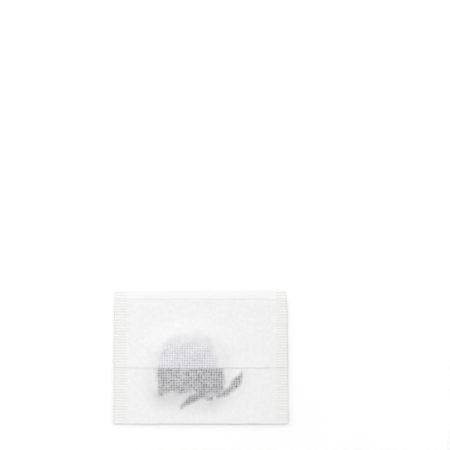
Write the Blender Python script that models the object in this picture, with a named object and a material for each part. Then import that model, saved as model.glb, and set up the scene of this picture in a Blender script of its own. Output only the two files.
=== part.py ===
"""A flat tea filter bag, filled by hand, with loose leaf tea in its pocket.

One strip of filter web is folded into a pocket with a turn-over flap, and two crimped seals hold its sides.
The bag lies on its back panel. X runs across it, +Y towards the mouth and +Z up, in metres.
"""

import math
import random

import bmesh
import bpy
import numpy as np
from mathutils import Euler, Vector

# The folded strip
BAG_WIDTH = 0.095
BAG_HEIGHT = 0.0724  # from the bottom fold to the free edge of the back panel
LIP_HEIGHT = 0.0043  # the back panel's reach past the mouth fold
FLAP_DEPTH = 0.0373  # from the mouth fold to the flap's free edge
WEB_THICKNESS = 0.0001
FOLD_RADIUS = 0.0003  # to the middle of the web, where the fold is free
MOUTH_GAPE = 0.003  # from the back panel to the front panel, in the middle of the mouth
SEAL_EASE = 0.007  # the width beside a seal over which the panels part

# The crimped side seals
SEAL_WIDTH = 0.0068
LAYER_SLACK = 0.00004  # between the layers that a seal holds
SEAL_COVER = 0.00004  # the fused skin over the outermost layers
SEAL_BITE = 0.0015  # how far the loose layers run on inside a seal
SEAL_LEVEL = 0.0003  # and how far they leave it before they bend
EDGE_INSET = 0.00005  # the web ends this far short of the seals' ends
RIB_PITCH = 0.0015
RIB_HEIGHT = 0.00012

# The tea
LEAF_THICKNESS = 0.0003
PETAL_THICKNESS = 0.00026
ROLLED_LENGTH = 0.0145
ROLLED_WIDTH = 0.0038  # before it is rolled up
SLIVER_LENGTH = 0.0125
SLIVER_WIDTH = 0.0029
FLAKE_LENGTH = 0.0105
FLAKE_WIDTH = 0.0058
PETAL_LENGTH = 0.0095
PETAL_WIDTH = 0.0066
STALK_LENGTH = 0.0125
STALK_DIAMETER = 0.00095
LENGTH_SPREAD_PERCENT = 32  # each piece is longer or shorter by up to this much
WIDTH_SPREAD_PERCENT = 25
CRESCENT_LENGTH = 0.0195  # the long leaf that reaches out of the heap towards the right seal
CRESCENT_WIDTH = 0.005
POINTER_LENGTH = 0.0165  # the thin leaf that points at the bottom fold
POINTER_WIDTH = 0.003
REST_CLEARANCE = 0.0003  # between a piece of tea and whatever it touches

# The heap in the pocket
HEAP_HALF_WIDTH = 0.0187
HEAP_HALF_HEIGHT = 0.0167
HEAP_FROM_LEFT_SEAL = 0.0162
HEAP_FROM_FOLD = 0.0153  # from the bottom fold to the heap's lower rim
LOWER_SQUARENESS = 4.5  # of the heap's outline: 2 is an ellipse, and more has fuller corners
UPPER_SQUARENESS = 2.2
HEAP_DOME = 0.003  # how much higher the heap is in the middle than at its rim

# How finely things are divided
PANEL_COLUMNS = 22
LOWER_ROWS = 8  # from the bottom fold to the flap's edge
UPPER_ROWS = 9  # from there to the mouth fold
BACK_ROWS = 3
FOLD_STEPS = 3
PILE_CELL = 0.0004
FACE_SAMPLES = 7
TILT_STEPS = 7
STEEPEST_TILT_DEGREES = 20
SPOTS_TRIED = 40  # for each piece of tea, which stays where it lies lowest
RELAXATIONS = 900
SEED = 1

# Places that follow from the sizes above
HALF_WIDTH = BAG_WIDTH / 2
HALF_HEIGHT = BAG_HEIGHT / 2
POCKET_HALF = HALF_WIDTH - SEAL_WIDTH
MOUTH_Y = HALF_HEIGHT - LIP_HEIGHT
FLAP_EDGE_Y = MOUTH_Y - FLAP_DEPTH
LAYER_STEP = WEB_THICKNESS + LAYER_SLACK
SEAL_UNDERSIDE = RIB_HEIGHT
SEAL_BACK_Z = SEAL_UNDERSIDE + SEAL_COVER + WEB_THICKNESS / 2
SEAL_FRONT_Z = SEAL_BACK_Z + LAYER_STEP
FLOOR_Z = WEB_THICKNESS  # the inner face of the back panel
HEAP_CENTRE_X = -POCKET_HALF + HEAP_FROM_LEFT_SEAL + HEAP_HALF_WIDTH
HEAP_CENTRE_Y = -HALF_HEIGHT + HEAP_FROM_FOLD + HEAP_HALF_HEIGHT


def clear_scene():
    for obj in list(bpy.data.objects):
        bpy.data.objects.remove(obj)


def make_material(name, colour, roughness, alpha=1.0):
    material = bpy.data.materials.new(name)
    material.use_nodes = True
    shader = material.node_tree.nodes["Principled BSDF"]
    shader.inputs["Base Color"].default_value = (*colour, 1.0)
    shader.inputs["Roughness"].default_value = roughness
    shader.inputs["Metallic"].default_value = 0.0
    shader.inputs["Alpha"].default_value = alpha
    return material


def add_object(name, points, faces, material, parent):
    mesh = bpy.data.meshes.new(name)
    mesh.from_pydata([tuple(p) for p in points], [], faces)
    mesh.materials.append(material)
    obj = bpy.data.objects.new(name, mesh)
    bpy.context.scene.collection.objects.link(obj)
    obj.parent = parent
    return obj


def add_empty(name):
    empty = bpy.data.objects.new(name, None)
    bpy.context.scene.collection.objects.link(empty)
    return empty


def loft(rings):
    """Points and faces of a closed body through rings of equal length, each counter-clockwise about the way on."""
    count = len(rings[0])
    points = [p for ring in rings for p in ring]
    faces = [tuple(reversed(range(count)))]
    for r in range(len(rings) - 1):
        near, far = r * count, (r + 1) * count
        for k in range(count):
            nxt = (k + 1) % count
            faces.append((near + k, near + nxt, far + nxt, far + k))
    last = (len(rings) - 1) * count
    faces.append(tuple(range(last, last + count)))
    return points, faces


def smooth_step(value):
    t = min(1.0, max(0.0, value))
    return t * t * (3 - 2 * t)


def lerp(a, b, t):
    return a + (b - a) * t


# Pieces of tea. Each has its length along X, its width along Y and its hollow side up.


def blade(rng, length, width, thickness, curl, twist, sweep, tip, ragged, lean=1.0, sections=7, across=4):
    """Rings of a leaf that is curled across, twisted along its length and swept sideways in its own plane."""
    rings = []
    for i in range(sections):
        t = i / (sections - 1)
        s = t - 0.5
        fullness = tip + (1 - tip) * math.sin(math.pi * t**lean) ** 0.7
        full = width * fullness
        bend = min(curl, 0.8 * full / thickness)  # a narrow tip can't curl tighter than its thickness
        radius = full / bend
        left = -bend / 2 * (1 - ragged * rng.random())
        right = bend / 2 * (1 - ragged * rng.random())
        heading = sweep * s
        if abs(sweep) > 1e-3:
            spine = Vector((math.sin(heading), 1 - math.cos(heading), 0)) * (length / sweep)
        else:
            spine = Vector((length * s, 0, 0))
        side = Vector((-math.sin(heading), math.cos(heading), 0))
        up = Vector((0, 0, 1))
        turn = twist * s
        upper, lower = [], []
        for k in range(across + 1):
            angle = lerp(left, right, k / across)
            for ring, offset in ((upper, thickness / 2), (lower, -thickness / 2)):
                reach = (radius - offset) * math.sin(angle)
                height = radius - (radius - offset) * math.cos(angle) - radius / 3
                across_part = reach * math.cos(turn) - height * math.sin(turn)
                up_part = reach * math.sin(turn) + height * math.cos(turn)
                ring.append(spine + side * across_part + up * up_part)
        rings.append(lower + upper[::-1])
    return rings


def rolled_leaf(rng, length, width):
    return blade(
        rng, length, width, LEAF_THICKNESS, curl=math.radians(rng.uniform(170, 250)),
        twist=math.radians(rng.uniform(-60, 60)), sweep=math.radians(rng.uniform(-45, 45)), tip=0.4,
        ragged=0.1,
    )


def leaf_sliver(rng, length, width):
    return blade(
        rng, length, width, LEAF_THICKNESS, curl=math.radians(rng.uniform(50, 100)),
        twist=math.radians(rng.uniform(-50, 50)), sweep=math.radians(rng.uniform(-50, 50)), tip=0.2,
        ragged=0.12, across=3,
    )


def leaf_flake(rng, length, width):
    return blade(
        rng, length, width, LEAF_THICKNESS, curl=math.radians(rng.uniform(20, 45)),
        twist=math.radians(rng.uniform(-25, 25)), sweep=math.radians(rng.uniform(-15, 15)), tip=0.55,
        ragged=0.3, sections=6,
    )


def petal(rng, length, width):
    return blade(
        rng, length, width, PETAL_THICKNESS, curl=math.radians(rng.uniform(80, 125)),
        twist=math.radians(rng.uniform(-20, 20)), sweep=math.radians(rng.uniform(-20, 20)), tip=0.3,
        ragged=0.06, lean=1.6,
    )


def stalk(rng, length, width):
    """Rings of a bent round stem, which is width across."""
    sides, sections = 6, 6
    sweep = math.radians(rng.uniform(-35, 35)) + 1e-3
    rings = []
    for i in range(sections):
        heading = sweep * (i / (sections - 1) - 0.5)
        spine = Vector((math.sin(heading), 1 - math.cos(heading), 0)) * (length / sweep)
        side = Vector((-math.sin(heading), math.cos(heading), 0))
        radius = width / 2 * rng.uniform(0.85, 1.0)
        up = Vector((0, 0, radius))
        turns = [2 * math.pi * k / sides for k in range(sides)]
        rings.append([spine + side * (radius * math.cos(a)) + up * math.sin(a) for a in turns])
    return rings


# Names the shape, its usual length and width, its material and how many the heap holds.
BLEND = (
    ("leaf_flake", leaf_flake, FLAKE_LENGTH, FLAKE_WIDTH, "green_leaf", 13),
    ("rolled_leaf", rolled_leaf, ROLLED_LENGTH, ROLLED_WIDTH, "dark_leaf", 13),
    ("leaf_sliver", leaf_sliver, SLIVER_LENGTH, SLIVER_WIDTH, "brown_leaf", 12),
    ("petal", petal, PETAL_LENGTH, PETAL_WIDTH, "petal", 4),
    ("stalk", stalk, STALK_LENGTH, STALK_DIAMETER, "stalk", 5),
)


class Pile:
    """How high the tea reaches over each small square of the pocket, as its pieces are laid down."""

    def __init__(self):
        self.columns = math.ceil(BAG_WIDTH / PILE_CELL)
        self.rows = math.ceil(BAG_HEIGHT / PILE_CELL)
        self.top = np.full((self.columns, self.rows), FLOOR_Z)

    def cells(self, x, y):
        column = np.clip(((x + HALF_WIDTH) / PILE_CELL).astype(int), 0, self.columns - 1)
        row = np.clip(((y + HALF_HEIGHT) / PILE_CELL).astype(int), 0, self.rows - 1)
        return column, row

    def spread_top(self):
        """Each square with the highest of its neighbours, so that pieces keep apart sideways too."""
        wide = np.pad(self.top, 1, mode="edge")
        shifts = [wide[i : i + self.columns, j : j + self.rows] for i in range(3) for j in range(3)]
        return np.max(shifts, axis=0)

    def rest(self, points, x, y):
        """How a piece rests at x, y, tilted to where it lies lowest: its turn, its place and its highest point."""
        top = self.spread_top()
        column, row = self.cells(points[:, 0] + x, points[:, 1] + y)
        steepest = math.tan(math.radians(STEEPEST_TILT_DEGREES))
        slopes = np.linspace(-steepest, steepest, TILT_STEPS)
        a, b = (grid.ravel()[:, None] for grid in np.meshgrid(slopes, slopes))
        tilted = points[:, 2] + a * points[:, 0] + b * points[:, 1]
        lift = (top[column, row] - tilted).max(axis=1)
        lowest = int(np.argmin(lift + tilted.max(axis=1)))
        normal = Vector((-a[lowest, 0], -b[lowest, 0], 1))
        turn = Vector((0, 0, 1)).rotation_difference(normal)
        turned = points @ np.array(turn.to_matrix()).T
        column, row = self.cells(turned[:, 0] + x, turned[:, 1] + y)
        z = float((top[column, row] - turned[:, 2]).max()) + REST_CLEARANCE
        return turn, Vector((x, y, z)), z + turned[:, 2].max()

    def add(self, points):
        column, row = self.cells(points[:, 0], points[:, 1])
        np.maximum.at(self.top, (column, row), points[:, 2])

    def highest(self, x_low, x_high, y_low, y_high):
        ends = self.cells(np.array([x_low, x_high]), np.array([y_low, y_high]))
        (first_column, last_column), (first_row, last_row) = ends
        return self.top[first_column : last_column + 1, first_row : last_row + 1].max()


def sampled(points, faces):
    """Points spread evenly over the body's four-sided faces."""
    corners = np.array([[points[k] for k in face] for face in faces if len(face) == 4])
    steps = np.linspace(0, 1, FACE_SAMPLES)
    u, v = (grid.ravel()[None, :, None] for grid in np.meshgrid(steps, steps))
    a, b, c, d = (corners[:, k, None, :] for k in range(4))
    return ((a * (1 - u) + b * u) * (1 - v) + (d * (1 - u) + c * u) * v).reshape(-1, 3)


def lay_piece(pile, name, rings, spots, material, parent):
    """Adds a piece of tea on top of the pile, at whichever spot (x, y, heading) is furthest below the dome."""
    points, faces = loft(rings)
    spread = sampled(points, faces)
    best = None
    for x, y, heading in spots:
        aim = Euler((0, 0, heading)).to_matrix()
        turn, place, top = pile.rest(spread @ np.array(aim).T, x, y)
        height = top + dome_drop(x, y)
        if best is None or height < best[0]:
            best = height, turn @ aim.to_quaternion(), place
    _, rotation, place = best
    pile.add(spread @ np.array(rotation.to_matrix()).T + np.array(place))
    obj = add_object(name, points, faces, material, parent)
    obj.rotation_mode = "QUATERNION"
    obj.rotation_quaternion = rotation
    obj.location = place
    obj.data.shade_smooth()
    obj.data.set_sharp_from_angle(angle=math.radians(50))
    return obj


def spot_in_heap(rng, length):
    """A place and heading at which a piece doesn't stick out of the heap's outline."""
    heading = rng.uniform(0, 2 * math.pi)
    reach_x = max(HEAP_HALF_WIDTH - abs(math.cos(heading)) * length / 2, HEAP_HALF_WIDTH / 5)
    reach_y = max(HEAP_HALF_HEIGHT - abs(math.sin(heading)) * length / 2, HEAP_HALF_HEIGHT / 5)
    up = rng.uniform(-1, 1)
    squareness = LOWER_SQUARENESS if up < 0 else UPPER_SQUARENESS
    across = rng.uniform(-1, 1) * (1 - abs(up) ** squareness) ** (1 / squareness)
    return HEAP_CENTRE_X + reach_x * across, HEAP_CENTRE_Y + reach_y * up, heading


def dome_drop(x, y):
    """How far the heap's surface should lie below its peak at this place."""
    outward = Vector(((x - HEAP_CENTRE_X) / HEAP_HALF_WIDTH, (y - HEAP_CENTRE_Y) / HEAP_HALF_HEIGHT))
    return HEAP_DOME * outward.length_squared


def spread_size(rng, usual, percent):
    return usual * rng.uniform(1 - percent / 100, 1 + percent / 100)


def make_tea(pile, materials, parent):
    rng = random.Random(SEED)
    crescent = blade(
        rng, CRESCENT_LENGTH, CRESCENT_WIDTH, LEAF_THICKNESS, curl=math.radians(55), twist=math.radians(15),
        sweep=math.radians(50), tip=0.12, ragged=0.05, lean=1.6, sections=9,
    )
    lay_piece(
        pile, "crescent_leaf", crescent,
        [(HEAP_CENTRE_X + 1.2 * HEAP_HALF_WIDTH, HEAP_CENTRE_Y - 0.7 * HEAP_HALF_HEIGHT, math.radians(43))],
        materials["dark_leaf"], parent,
    )
    pointer = blade(
        rng, POINTER_LENGTH, POINTER_WIDTH, LEAF_THICKNESS, curl=math.radians(80), twist=math.radians(30),
        sweep=math.radians(-25), tip=0.15, ragged=0.08, sections=8, across=3,
    )
    lay_piece(
        pile, "pointer_leaf", pointer,
        [(HEAP_CENTRE_X + 0.08 * HEAP_HALF_WIDTH, HEAP_CENTRE_Y - 1.04 * HEAP_HALF_HEIGHT, math.radians(30))],
        materials["brown_leaf"], parent,
    )
    pieces = [(kind, number) for kind in BLEND for number in range(1, kind[5] + 1)]
    rng.shuffle(pieces)
    for (name, shape, length, width, material, _), number in pieces:
        piece_length = spread_size(rng, length, LENGTH_SPREAD_PERCENT)
        piece_width = spread_size(rng, width, WIDTH_SPREAD_PERCENT)
        rings = shape(rng, piece_length, piece_width)
        spots = [spot_in_heap(rng, piece_length) for _ in range(SPOTS_TRIED)]
        lay_piece(pile, f"{name}_{number:02d}", rings, spots, materials[material], parent)


# The bag


def freedom(x):
    """0 in a seal, where the layers lie together, and 1 where they part freely."""
    return smooth_step((POCKET_HALF - abs(x)) / SEAL_EASE)


def back_height(x):
    return lerp(SEAL_BACK_Z, WEB_THICKNESS / 2, freedom(x))


def fold_radius(x):
    return lerp(LAYER_STEP / 2, FOLD_RADIUS, freedom(x))


def panel_columns():
    bend = POCKET_HALF - SEAL_LEVEL
    free = [lerp(-bend, bend, i / PANEL_COLUMNS) for i in range(PANEL_COLUMNS + 1)]
    return [-POCKET_HALF - SEAL_BITE, *free, POCKET_HALF + SEAL_BITE]


def panel_rows(x):
    """Heights up the front panel, from the bottom fold to the mouth fold, with one at the flap's edge."""
    inset = fold_radius(x) + WEB_THICKNESS / 2 + EDGE_INSET
    low, high = -HALF_HEIGHT + inset, MOUTH_Y - inset
    lower = [lerp(low, FLAP_EDGE_Y, j / LOWER_ROWS) for j in range(LOWER_ROWS)]
    return lower + [lerp(FLAP_EDGE_Y, high, j / UPPER_ROWS) for j in range(UPPER_ROWS + 1)]


def drape_front(pile):
    """The front panel's height at each column and row: a taut web, held at its edges, over the heap."""
    columns = panel_columns()
    rows = [panel_rows(x) for x in columns]
    last_column, last_row = len(columns) - 1, len(rows[0]) - 1
    held = np.zeros((last_column + 1, last_row + 1))
    tea = np.zeros_like(held)
    for i, x in enumerate(columns):
        fold = back_height(x) + 2 * fold_radius(x)
        bow = max(0.0, 1 - (x / POCKET_HALF) ** 2)
        mouth = max(fold, back_height(x) + MOUTH_GAPE * bow)
        for j in range(last_row + 1):
            held[i, j] = lerp(fold, mouth, j / last_row)
            below = pile.highest(
                columns[max(i - 1, 0)], columns[min(i + 1, last_column)],
                rows[i][max(j - 1, 0)], rows[i][min(j + 1, last_row)],
            )
            if below > FLOOR_Z:
                tea[i, j] = below + REST_CLEARANCE + WEB_THICKNESS
    height = np.maximum(held, tea)
    free = slice(2, -2)  # the outer two columns each side lie in a seal or at its edge
    for _ in range(RELAXATIONS):
        mean = (height[1:-3, 1:-1] + height[3:-1, 1:-1] + height[free, :-2] + height[free, 2:]) / 4
        height[free, 1:-1] = np.maximum(mean, tea[free, 1:-1])
    return columns, rows, height


def half_turn(y, low, high, towards):
    """Points round a fold, between two layers at the heights low and high."""
    radius, middle = (high - low) / 2, (high + low) / 2
    angles = [math.pi * (k / FOLD_STEPS - 0.5) for k in range(1, FOLD_STEPS)]
    return [(y + towards * radius * math.cos(a), middle + radius * math.sin(a)) for a in angles]


def web_path(x, rows, front):
    """The middle of the web at one column, as (y, z), from the flap's free edge round to the back panel's."""
    step = 2 * fold_radius(x)
    flap = [(y, z + step) for y, z in zip(rows[LOWER_ROWS:], front[LOWER_ROWS:])]
    mouth_fold = half_turn(rows[-1], front[-1], front[-1] + step, 1)[::-1]
    panel = list(zip(rows, front))[::-1]
    bottom_fold = half_turn(rows[0], back_height(x), front[0], -1)[::-1]
    top = HALF_HEIGHT - EDGE_INSET
    back = [(lerp(rows[0], top, j / BACK_ROWS), back_height(x)) for j in range(BACK_ROWS + 1)]
    return flap + mouth_fold + panel + bottom_fold + back


def web_sheet(columns, paths):
    """The web's middle surface. Its triangles lean the same way wherever one layer lies over another."""
    count = len(paths[0])
    points = [(x, y, z) for x, path in zip(columns, paths) for y, z in path]
    faces = []
    for i in range(len(columns) - 1):
        for j in range(count - 1):
            near, near_on = i * count + j, i * count + j + 1
            far, far_on = near + count, near_on + count
            if paths[i][j + 1][0] > paths[i][j][0]:
                faces += [(near, near_on, far_on), (near, far_on, far)]
            else:
                faces += [(near, near_on, far), (near_on, far_on, far)]
    return points, faces


def seal_profile():
    """A seal's outline, as (y, z): ribs over one, two or three layers on top, and the same ribs below."""
    count = round(BAG_HEIGHT / RIB_PITCH)
    pitch = BAG_HEIGHT / count
    shape = ((0.0, 0.0), (0.3, 1.0), (0.6, 1.0))  # shares of the pitch and of the rib's height
    stations = [(-HALF_HEIGHT + (n + share) * pitch, rise) for n in range(count) for share, rise in shape]
    stations.append((HALF_HEIGHT, 0.0))
    over_layer = SEAL_COVER + WEB_THICKNESS / 2
    top = []
    for y, rise in stations:
        if y > MOUTH_Y + pitch / 2:
            layer = SEAL_BACK_Z
        elif y > FLAP_EDGE_Y - pitch / 2:
            layer = SEAL_FRONT_Z + LAYER_STEP
        else:
            layer = SEAL_FRONT_Z
        top.append((y, layer + over_layer + rise * RIB_HEIGHT))
    bottom = [(y, SEAL_UNDERSIDE - rise * RIB_HEIGHT) for y, rise in stations]
    return bottom + top[::-1]


def make_seal(name, side, material, parent):
    inner, outer = side * POCKET_HALF, side * HALF_WIDTH
    profile = seal_profile()
    rings = [[Vector((x, y, z)) for y, z in profile] for x in sorted((inner, outer))]
    points, faces = loft(rings)
    seal = add_object(name, points, faces, material, parent)
    seal.hide_render = True
    seal.display_type = "WIRE"
    return seal


def make_bag(pile, material, parent):
    columns, rows, height = drape_front(pile)
    paths = [web_path(x, rows[i], height[i]) for i, x in enumerate(columns)]
    points, faces = web_sheet(columns, paths)
    bag = add_object("filter_bag", points, faces, material, parent)
    wall = bag.modifiers.new("web_thickness", "SOLIDIFY")
    wall.thickness = WEB_THICKNESS
    wall.offset = 0
    wall.use_even_offset = True
    for name, side in (("left_seal", -1), ("right_seal", 1)):
        seal = make_seal(name, side, material, parent)
        face_outwards(seal)
        weld = bag.modifiers.new(name, "BOOLEAN")
        weld.operation = "UNION"
        weld.solver = "EXACT"
        weld.object = seal
    bag.data.shade_smooth()
    bag.data.set_sharp_from_angle(angle=math.radians(40))
    return bag


def face_outwards(obj):
    shell = bmesh.new()
    shell.from_mesh(obj.data)
    bmesh.ops.recalc_face_normals(shell, faces=shell.faces)
    shell.to_mesh(obj.data)
    shell.free()


def main():
    clear_scene()
    materials = {
        "filter_web": make_material("filter_web", (0.87, 0.87, 0.86), 0.85, alpha=0.45),
        "green_leaf": make_material("green_leaf", (0.085, 0.085, 0.04), 0.75),
        "dark_leaf": make_material("dark_leaf", (0.05, 0.045, 0.028), 0.7),
        "brown_leaf": make_material("brown_leaf", (0.13, 0.09, 0.045), 0.75),
        "petal": make_material("petal", (0.27, 0.035, 0.07), 0.6),
        "stalk": make_material("stalk", (0.3, 0.23, 0.11), 0.7),
    }
    bag_frame = add_empty("tea_bag")
    tea_frame = add_empty("tea")
    tea_frame.parent = bag_frame
    pile = Pile()
    make_tea(pile, materials, tea_frame)
    make_bag(pile, materials["filter_web"], bag_frame)


main()
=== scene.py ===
"""A flat tea filter bag of thin embossed web, crimped at both sides, over a heap of loose leaf tea."""

import math

import bmesh
import bpy
import numpy as np
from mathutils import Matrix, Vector


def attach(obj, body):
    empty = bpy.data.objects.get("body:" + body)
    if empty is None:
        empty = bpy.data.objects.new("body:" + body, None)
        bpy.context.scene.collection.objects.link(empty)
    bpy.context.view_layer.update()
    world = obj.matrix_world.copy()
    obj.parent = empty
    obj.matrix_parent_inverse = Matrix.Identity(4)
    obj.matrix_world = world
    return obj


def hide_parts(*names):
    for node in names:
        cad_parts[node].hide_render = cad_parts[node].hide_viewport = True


MM = 0.001

# The bag, as its solid has it
BAG_WIDTH = 95 * MM
BAG_HEIGHT = 72.4 * MM
LIP_HEIGHT = 4.3 * MM
FLAP_DEPTH = 37.3 * MM
WEB_THICKNESS = 0.1 * MM
FOLD_RADIUS = 0.3 * MM
SEAL_EASE = 7 * MM
SEAL_WIDTH = 6.8 * MM
LAYER_STEP = 0.14 * MM
SEAL_BACK_Z = 0.21 * MM
EDGE_INSET = 0.05 * MM
RIB_PITCH = BAG_HEIGHT / 48  # whole ribs fill the height
HALF_WIDTH = BAG_WIDTH / 2
HALF_HEIGHT = BAG_HEIGHT / 2
POCKET_HALF = HALF_WIDTH - SEAL_WIDTH
MOUTH_Y = HALF_HEIGHT - LIP_HEIGHT
FLAP_EDGE_Y = MOUTH_Y - FLAP_DEPTH
FRONT_DEPTH = MOUTH_Y + HALF_HEIGHT

# The heap's outline
HEAP_HALF_WIDTH = 18.7 * MM
HEAP_HALF_HEIGHT = 16.7 * MM
HEAP_CENTRE = (-5.8 * MM, -4.2 * MM)
LOWER_SQUARENESS = 4.5  # 2 is an ellipse, and more has fuller corners
CORNER_SQUARENESS = 9  # at the lower left
UPPER_SQUARENESS = 2.2

# How the web lies
MOUTH_GAPE = 1.1 * MM  # between the panels, in the middle of the mouth
DRAPE_CELL = 0.5 * MM
DRAPE_ROUNDS = 2400
DRAPE_PULL = 1.85  # each round moves the web this many times as far as it has to go
DRAPE_WEIGHT = 0.065 / 1000  # how fast loose web falls away from the tea, in metres to a square millimetre
TEA_CLEARANCE = 0.35 * MM  # from the tea to the middle of the web over it
WEB_GIVE = 0.12 * MM  # how far the softened web may sink into that
FLAP_GAP = 0.16 * MM  # between the middles of the flap and the front panel, away from the fold
FLAP_SETTLE = 14 * MM  # from the mouth fold to where the flap lies close
FLAP_LIFT = 0.35 * MM  # of the flap's free edge
FLAP_LIFT_REACH = 7 * MM
FLAP_EDGE_WAVER = 0.12 * MM
LIP_LIFT = 0.35 * MM
LIP_LIFT_REACH = 6 * MM
LIP_EDGE_WAVER = 0.06 * MM
CORNER_RADIUS = 1.6 * MM
CURL_LEFT = 0.15 * MM  # how far the edges stand off what the bag lies on
CURL_RIGHT = 0.2 * MM
CURL_BELOW = 0.3 * MM
CURL_REACH = 12 * MM
CURL_UNEVENNESS = 0.35
SIDE_WAVER = 0.12 * MM
SIDE_LEAN = 0.9 * MM  # how much narrower the bag is cut at its upper right corner
FOLD_INSET = 0.4 * MM  # of the bottom fold, from the bag's greatest height

# How finely the strip is divided
POCKET_COLUMNS = 96
POCKET_ROW = RIB_PITCH / 2
ROWS_IN_SEAL = 4  # to each row of the pocket
SEAL_COLUMNS = [0, 0.35 * MM, 2 * MM, 4 * MM, 6 * MM, SEAL_WIDTH]
FOLD_STEPS = 6

# How the tea shows through the web
CLOSE_FROM = 0.3 * MM  # the gap at which tea under the web begins to blur,
CLOSE_REACH = 1.6 * MM  # and how much farther off it is blurred away
TOUCH_FROM = 0.5 * MM  # the same for its shade
TOUCH_REACH = 6 * MM
CLOSE_SHARE = 0.45  # how much the blur counts beside the shade
REACHING_TOUCH = 0.95  # of the two leaves that lie against the web beside the heap
BACK_TOUCH = 0.6  # through the back panel
FLAP_TOUCH = 0.08  # through the flap, where it stands off the tea,
FLAP_TOUCH_MORE = 0.74  # and how much more where it lies close
FLAP_FADE_Y = 19 * MM  # above this the flap stands off,
FLAP_FADE_REACH = 16 * MM
FLAP_FADE_X = (-19 * MM, 4.5 * MM)
FLAP_FADE_BESIDE = 3  # and beside these this much faster
FLAP_CLEAR = 0.95  # how clear its dots are, with a second web under them

# The strip's own coordinates: one unit of its UV map is this much web
UV_UNIT = 200 * MM
DOT_PITCH_ACROSS = 1.355 * MM
DOT_PITCH_ALONG = 1.31 * MM

# Small broken tea
CRUMBS = 1300
SPOTS_TRIED = 16
CRUMB_CELL = 0.3 * MM
CRUMB_LENGTH = (0.8 * MM, 3.8 * MM)
CRUMB_WIDTH = (0.3 * MM, 1.5 * MM)
CRUMB_BREADTH = 0.7  # the broadest, as a share of the length
CRUMB_THICKNESS = 0.13 * MM
CRUMB_CURL = 0.5
CRUMB_GAP = 0.05 * MM  # under each
STEEPEST_CRUMB = 0.4
CRUMBS_HEAPED = 4 * MM  # how much higher they lie in the middle of the heap than at its edge
CRUMBS_WITHIN = ((-23 * MM, -20.8 * MM), (12.2 * MM, 12.5 * MM))
CRUMBS_STEP = (-2.5 * MM, -17.8 * MM)  # left of this they end higher up,
CRUMBS_CORNER = -20.6 * MM  # but for the corner
CRUMBS_SPREAD = 1.06  # how far they lie out over the heap's outline

# Slot, dark, body and pale colour, share of veins and stretch of wrinkles
TEA_LOOKS = {
    "leaf_flake": ("green_leaf", (0.026, 0.026, 0.012), (0.085, 0.08, 0.042), (0.22, 0.2, 0.115), 0.8, 0.5),
    "rolled_leaf": ("dark_leaf", (0.012, 0.011, 0.007), (0.05, 0.043, 0.028), (0.15, 0.125, 0.08), 0, 0.35),
    "crescent_leaf": ("dark_leaf", (0.01, 0.009, 0.006), (0.035, 0.03, 0.02), (0.12, 0.1, 0.065), 0.4, 0.4),
    "leaf_sliver": ("brown_leaf", (0.03, 0.024, 0.014), (0.1, 0.08, 0.048), (0.24, 0.195, 0.12), 0, 0.3),
    "pointer_leaf": ("brown_leaf", (0.016, 0.013, 0.009), (0.05, 0.042, 0.028), (0.16, 0.13, 0.085), 0, 0.3),
    "petal": ("petal", (0.045, 0.004, 0.011), (0.16, 0.014, 0.036), (0.4, 0.16, 0.16), 0, 0.25),
    "stalk": ("stalk", (0.11, 0.08, 0.035), (0.26, 0.2, 0.105), (0.42, 0.35, 0.21), 0, 0.2),
}
CRUMB_LOOK = ((0.012, 0.012, 0.009), (0.075, 0.07, 0.05), (0.21, 0.19, 0.135), 0.0, 0.6)

# How wide the two leaves that reach out of the heap are, from end to end, as shares of their solids
LEAF_SHAPES = {
    "crescent_leaf": [1.0, 1.0, 0.7, 0.5, 0.6, 0.9, 0.8, 0.35, 0.1],
    "pointer_leaf": [0.3, 1.1, 1.45, 1.4, 1.2, 1.0],
}

# Colours of the web
THIN_WEB = (0.838, 0.836, 0.843, 1)
THICK_WEB = (0.888, 0.888, 0.893, 1)
WEB_OVER_TEA = (0.86, 0.85, 0.93, 1)
LIP_PAINTED_LIGHT = (0.93, 0.93, 0.932, 1)  # painted light: the lip made whiter, for the white floor's light that comes up through its single layer
# the seals' grooves: the fused web's greenish tint, made darker as painted shade in the troughs
GROOVE_TINT_AND_SHADE = (0.805, 0.808, 0.768, 1)
CUT_EDGE_AND_SHADOW = (0.73, 0.73, 0.68, 1)  # the flap's cut edge: partly its own tint, partly a painted shadow line along that edge

# The room
VIEW_CENTRE = Vector((12.96 * MM, 72.96 * MM, 0))
FIELD = 248 * MM
CAMERA_DISTANCE = 0.7
CAMERA_TILT = math.radians(5)
LAMPS = {  # place, side in metres and power in watts
    "window": ((-0.25, 0.27, 0.65), 0.5, 3.0),
    "fill": ((1.5, 0.1, 1.7), 1.0, 9.5),
}
ROOM_LIGHT = 0.5
GLOW_REACH = (0.05, 0.8)  # from the bag's middle, in metres,
GLOW = (0.082, 0.46)  # over which the floor's glow rises so much


def smooth_step(value):
    t = np.clip(value, 0.0, 1.0)
    return t * t * (3 - 2 * t)


def lerp(a, b, t):
    return a + (b - a) * t


def add_piece(name, mesh):
    piece = bpy.data.objects.new(name, mesh)
    bpy.context.scene.collection.objects.link(piece)
    return piece


def settle_modifiers(piece):
    """Turns what the modifiers make into the piece's own plain mesh."""
    bpy.context.view_layer.update()
    evaluated = piece.evaluated_get(bpy.context.evaluated_depsgraph_get())
    mesh = bpy.data.meshes.new_from_object(evaluated)
    mesh.name = piece.name
    old = piece.data
    piece.modifiers.clear()
    piece.data = mesh
    bpy.data.meshes.remove(old)
    return piece


# Trees of nodes


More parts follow.
